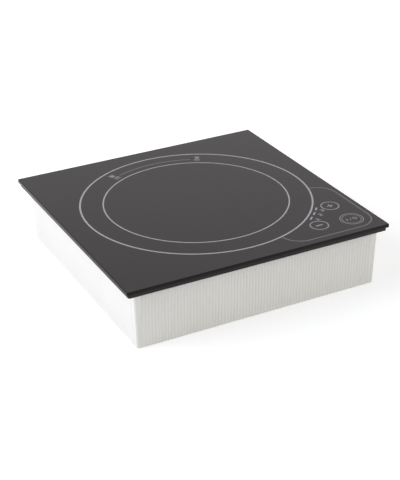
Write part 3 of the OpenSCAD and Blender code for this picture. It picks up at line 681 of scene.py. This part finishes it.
# The lines of each number, in units that build_level_marks stretches
DIGITS = {
    1: [[(-1.0, 1.0), (0.2, 1.9), (0.2, -1.5)], [(-1.1, -1.9), (1.5, -1.9)]],
    2: [[(-1.1, 1.1), (-0.6, 1.8), (0.6, 1.8), (1.1, 1.0), (0.9, 0.2), (-1.1, -1.9), (1.2, -1.9)]],
    3: [
        [
            (-1.1, 1.5), (0, 1.9), (1.1, 1.3), (0.9, 0.4), (0, 0.05),
            (1.0, -0.5), (1.1, -1.3), (0, -1.9), (-1.1, -1.5),
        ]
    ],
}


def build_level_marks():
    """Three short bars over the lamps, with the number of each power level beside it."""

    def draw_bars(bm):
        for a in BAR_ANGLES:
            add_stroke(bm, turned([(0, -3.4), (0, 3.4)], round_zone(BAR_R, a), a), 1.8 * MM)

    def draw_digits(bm):
        for level, a in zip(LEVELS, DIGIT_ANGLES):
            for line in DIGITS[level]:
                wide = [(1.6 * x, 1.1 * y) for x, y in line]
                add_stroke(bm, turned(wide, round_zone(DIGIT_R, a), 0), MARK_LINE)

    print_piece("level_bars", INK_BRIGHT, draw_bars)
    print_piece("level_digits", INK_MID, draw_digits)


def build_back_arc():
    """A thin arc between the rings at the back, with a sign of a pan over heat at each end."""

    def draw_arc(bm):
        add_stroke(bm, arc_points(ZONE, BACK_ARC_R, *BACK_ARC_ENDS, 96), 1.5 * MM)

    def draw_signs(bm):
        for a, size in SIGNS:
            centre = round_zone(SIGN_R, a)
            scale = size * MM
            lid = [(-3.4, 6.6), (3.4, 6.6)]
            pan = [(-2.7, 3.4), (2.7, 3.4)]
            add_stroke(bm, turned(lid, centre, a - 90, scale), 1.0 * MM)
            add_stroke(bm, turned(pan, centre, a - 90, scale), 4.2 * scale)
            for x in (-2.6, 0.0, 2.6):
                wave = [(x, -0.4), (x + 0.7, -2.2), (x - 0.5, -4.2), (x + 0.2, -6.2)]
                add_stroke(bm, turned(wave, centre, a - 90, scale), 1.3 * scale)

    print_piece("back_arc", INK_SOFT, draw_arc)
    print_piece("pan_signs", INK_MID, draw_signs)


build_rings()
build_panel_outline()
build_keys()
build_level_marks()
build_back_arc()

# ---------------------------------------------------------------- ribs of the housing

RIB_PITCH = 3.5 * MM
RIB_DEPTH = 0.52 * MM
RIB_STEPS = 8  # faces across one rib
RIB_ROUNDING = 0.7  # under 1 widens the crests and narrows the grooves
RIBS_EACH_WAY = 38  # from the middle of a wall


def wall_reach(z):
    """Distance of the outer wall from the housing's centre at a height."""
    return TUB_HALF - TUB_LEAN * (1 - (z - tub_low.z) / TUB_H)


def rib_height(u):
    """Height of the relief at a distance along the wall: round crests, narrow grooves."""
    phase = (u / RIB_PITCH) % 1.0
    return RIB_DEPTH * abs(math.sin(math.pi * phase)) ** RIB_ROUNDING


def add_rib_field(bm, turn, first, last, z_low, z_high):
    """A closed ribbed skin on one wall, from rib number first to last, fading out at its ends."""
    fade = 0.9 * MM
    rows = [(z_low, 0.0), (z_low + fade, 1.0), (z_high - fade, 1.0), (z_high, 0.0)]
    sunk = 0.15 * MM
    lift = 0.015 * MM
    count = (last - first) * RIB_STEPS
    c, s = math.cos(turn), math.sin(turn)

    def place(u, out, z):
        x, y = u, -(wall_reach(z) + out)
        return (TUB_CENTRE[0] + x * c - y * s, TUB_CENTRE[1] + x * s + y * c, z)

    front, back = [], []
    for z, share in rows:
        line, behind = [], []
        for i in range(count + 1):
            u = first * RIB_PITCH + RIB_PITCH * i / RIB_STEPS
            line.append(bm.verts.new(place(u, lift + share * rib_height(u), z)))
            behind.append(bm.verts.new(place(u, -sunk, z)))
        front.append(line)
        back.append(behind)
    for j in range(len(rows) - 1):
        for i in range(count):
            bm.faces.new((front[j][i], front[j][i + 1], front[j + 1][i + 1], front[j + 1][i]))
            bm.faces.new((back[j][i + 1], back[j][i], back[j + 1][i], back[j + 1][i + 1]))
        bm.faces.new((back[j][0], front[j][0], front[j + 1][0], back[j + 1][0]))
        bm.faces.new((front[j][-1], back[j][-1], back[j + 1][-1], front[j + 1][-1]))
    for i in range(count):
        bm.faces.new((back[0][i], back[0][i + 1], front[0][i + 1], front[0][i]))
        bm.faces.new((front[-1][i], front[-1][i + 1], back[-1][i + 1], back[-1][i]))


def build_ribs():
    """Fine upright ribs on all four walls, left off round the vents and the cable gland."""
    top = tub_high.z - 0.3 * MM
    bottom = tub_low.z + 0.5 * MM
    for name, degrees in (("ribs_front", 0), ("ribs_right", 90), ("ribs_left", 270)):
        bm = bmesh.new()
        turn = math.radians(degrees)
        add_rib_field(bm, turn, -RIBS_EACH_WAY, RIBS_EACH_WAY, bottom, top)
        finish_mesh(name, bm, SLOTS["housing_plastic"], smooth_angle=60)
    bm = bmesh.new()
    gland_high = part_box("gland_body")[1]
    past_gland = int((TUB_CENTRE[0] - gland_high.x - 3 * MM) / RIB_PITCH)
    past_vents = 3
    add_rib_field(bm, math.pi, -RIBS_EACH_WAY, past_gland, bottom, top)
    add_rib_field(bm, math.pi, past_vents, RIBS_EACH_WAY, bottom, top)
    finish_mesh("ribs_back", bm, SLOTS["housing_plastic"], smooth_angle=60)


build_ribs()
